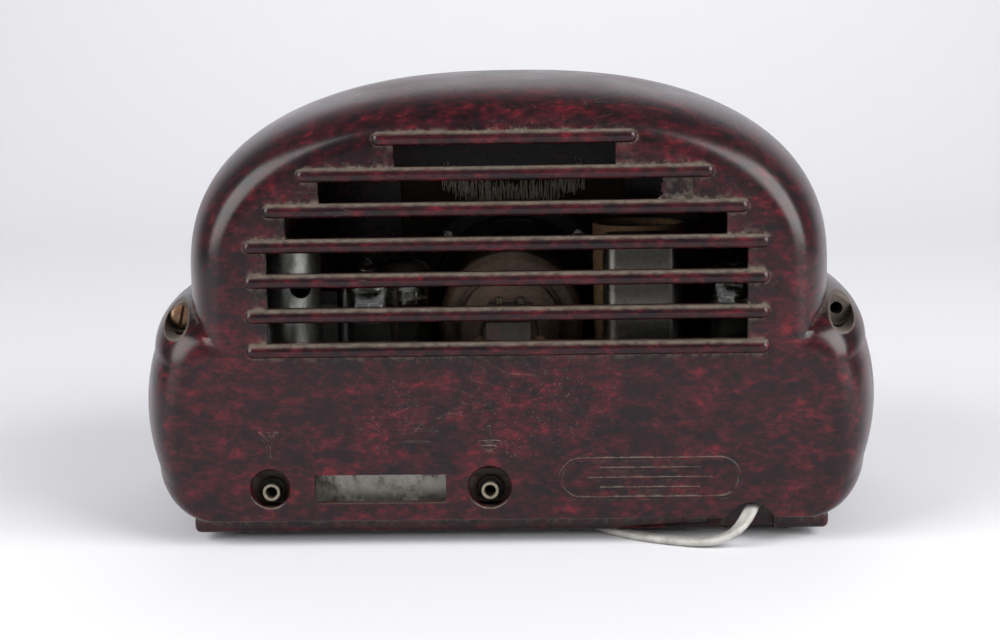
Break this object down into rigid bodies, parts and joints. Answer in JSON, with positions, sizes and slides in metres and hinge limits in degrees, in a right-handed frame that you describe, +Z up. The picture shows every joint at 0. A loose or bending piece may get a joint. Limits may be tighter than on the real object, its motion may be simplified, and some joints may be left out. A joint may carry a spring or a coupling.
{
  "type": "tube radio",
  "caption": "Small moulded table radio with a slatted dome case, its works inside, two turning knobs, a moving dial pointer and a flat mains cord coiled in front.",
  "frame": {"origin": "on the table, under the middle of the case's box with bars and knobs", "axes": "+Z up, -Y towards the front with the dial and knobs, +X to the right as seen from the front"},
  "size_m": [0.2612, 0.2556, 0.16],
  "materials": {
    "case_bakelite": "moulded mottled maroon phenolic, glossy with dust in the corners",
    "rusty_steel": "rusted screw steel",
    "black_rubber": "aged black rubber",
    "chassis_steel": "dull plated sheet steel with grime",
    "plated_screws": "dull plated screws",
    "socket_metal": "tarnished nickelled brass",
    "board": "brown laminated paper board",
    "frame_paint": "dark stoved paint",
    "pot_paint": "brown paint, dusty",
    "winding": "varnished paper over wire",
    "cloth": "woven loudspeaker cloth, frayed",
    "cone_paper": "pressed paper",
    "lead_cover": "cracked rubber lead covering",
    "core_iron": "varnished laminations",
    "valve_glass": "clear blown glass",
    "electrode_metal": "grey carbonised nickel",
    "can_aluminium": "drawn aluminium, oxidised",
    "cardboard": "waxed brown card",
    "waxed_paper": "waxed paper tube",
    "resistor_paint": "painted carbon rod",
    "ceramic": "cement-coated ceramic",
    "gang_metal": "sheet aluminium and plated steel",
    "drum_metal": "plated sheet steel",
    "drive_cord": "waxed woven cord",
    "yellow_brass": "turned brass",
    "spindle_steel": "drawn steel rod",
    "knob_bakelite": "dark maroon phenolic, polished",
    "dial_print": "cream enamelled plate with plain numbers",
    "celluloid": "yellowed clear sheet",
    "pointer_red": "red enamel",
    "lamp_glass": "clear lamp glass",
    "cord_cover": "off-white flat twin covering",
    "tie_fabric": "tape",
    "plug_bakelite": "brown phenolic"
  },
  "bodies": {
    "radio": {"rear_cover": "case_bakelite", "front_cover": "case_bakelite", "case_screw": "rusty_steel", "rubber_feet": "black_rubber", "chassis": "chassis_steel", "chassis_screws": "plated_screws", "aerial_socket": "socket_metal", "earth_socket": "socket_metal", "socket_boards": "board", "speaker_frame": "frame_paint", "speaker_screws": "plated_screws", "magnet_plate": "pot_paint", "magnet_pot": "pot_paint", "field_coil": "winding", "speaker_tag_strip": "board", "speaker_cloth": "cloth", "speaker_leads": "lead_cover", "transformer_core": "core_iron", "transformer_winding": "winding", "valve_sockets": "board", "mixer_valve": "valve_glass", "if_valve": "valve_glass", "output_valve": "valve_glass", "rectifier_valve": "valve_glass", "valve_electrodes": "electrode_metal", "square_can": "can_aluminium", "round_can": "can_aluminium", "can_coils": "winding", "cardboard_capacitor": "cardboard", "tag_strips": "board", "paper_capacitors": "waxed_paper", "resistors": "resistor_paint", "ballast_resistor": "ceramic", "gang_frame": "gang_metal", "gang_stator": "gang_metal", "drive_cord": "drive_cord", "cord_guides": "yellow_brass", "spindle_bush": "yellow_brass", "volume_control": "spindle_steel", "dial_scale": "dial_print", "dial_window": "celluloid", "pointer_rail": "spindle_steel", "lamp_holder": "yellow_brass", "dial_lamp": "lamp_glass", "cord_clamp": "board", "cord_run": "cord_cover", "cord_coil": "cord_cover", "cord_tie": "tie_fabric", "mains_plug": "plug_bakelite", "plug_pins": "yellow_brass", "plug_screw": "yellow_brass"},
    "tuning": {"tuning_spindle": "spindle_steel", "tuning_knob": "knob_bakelite"},
    "rotor": {"gang_rotor": "gang_metal", "drive_drum": "drum_metal"},
    "pointer": {"dial_pointer": "pointer_red"},
    "volume": {"volume_spindle": "spindle_steel", "volume_knob": "knob_bakelite"},
    "cone": {"speaker_cone": "cone_paper"}
  },
  "joints": [
    {"name": "tuning_turn", "type": "hinge", "parent": "radio", "child": "tuning", "pos_m": [0.0805, -0.05375, 0.022], "axis": [0, 1, 0], "range_deg": [-438, 438]},
    {"name": "rotor_turn", "type": "hinge", "parent": "radio", "child": "rotor", "pos_m": [0.066, -0.03375, 0.052], "axis": [0, 1, 0], "range_deg": [-90.1, 90.1]},
    {"name": "pointer_slide", "type": "slide", "parent": "radio", "child": "pointer", "axis": [1, 0, 0], "range_m": [-0.0287, 0.0287]},
    {"name": "volume_turn", "type": "hinge", "parent": "radio", "child": "volume", "pos_m": [-0.0805, -0.05375, 0.022], "axis": [0, 1, 0], "range_deg": [0, 280]},
    {"name": "cone_slide", "type": "slide", "parent": "radio", "child": "cone", "axis": [0, -1, 0], "range_m": [-0.0008, 0.0008], "stiffness_N_per_m": 600}
  ],
  "couplings": [
    {"joint": "rotor_turn", "follows": "tuning_turn", "ratio": 0.20548},
    {"joint": "pointer_slide", "follows": "tuning_turn", "m_per_rad": 0.00375}
  ]
}
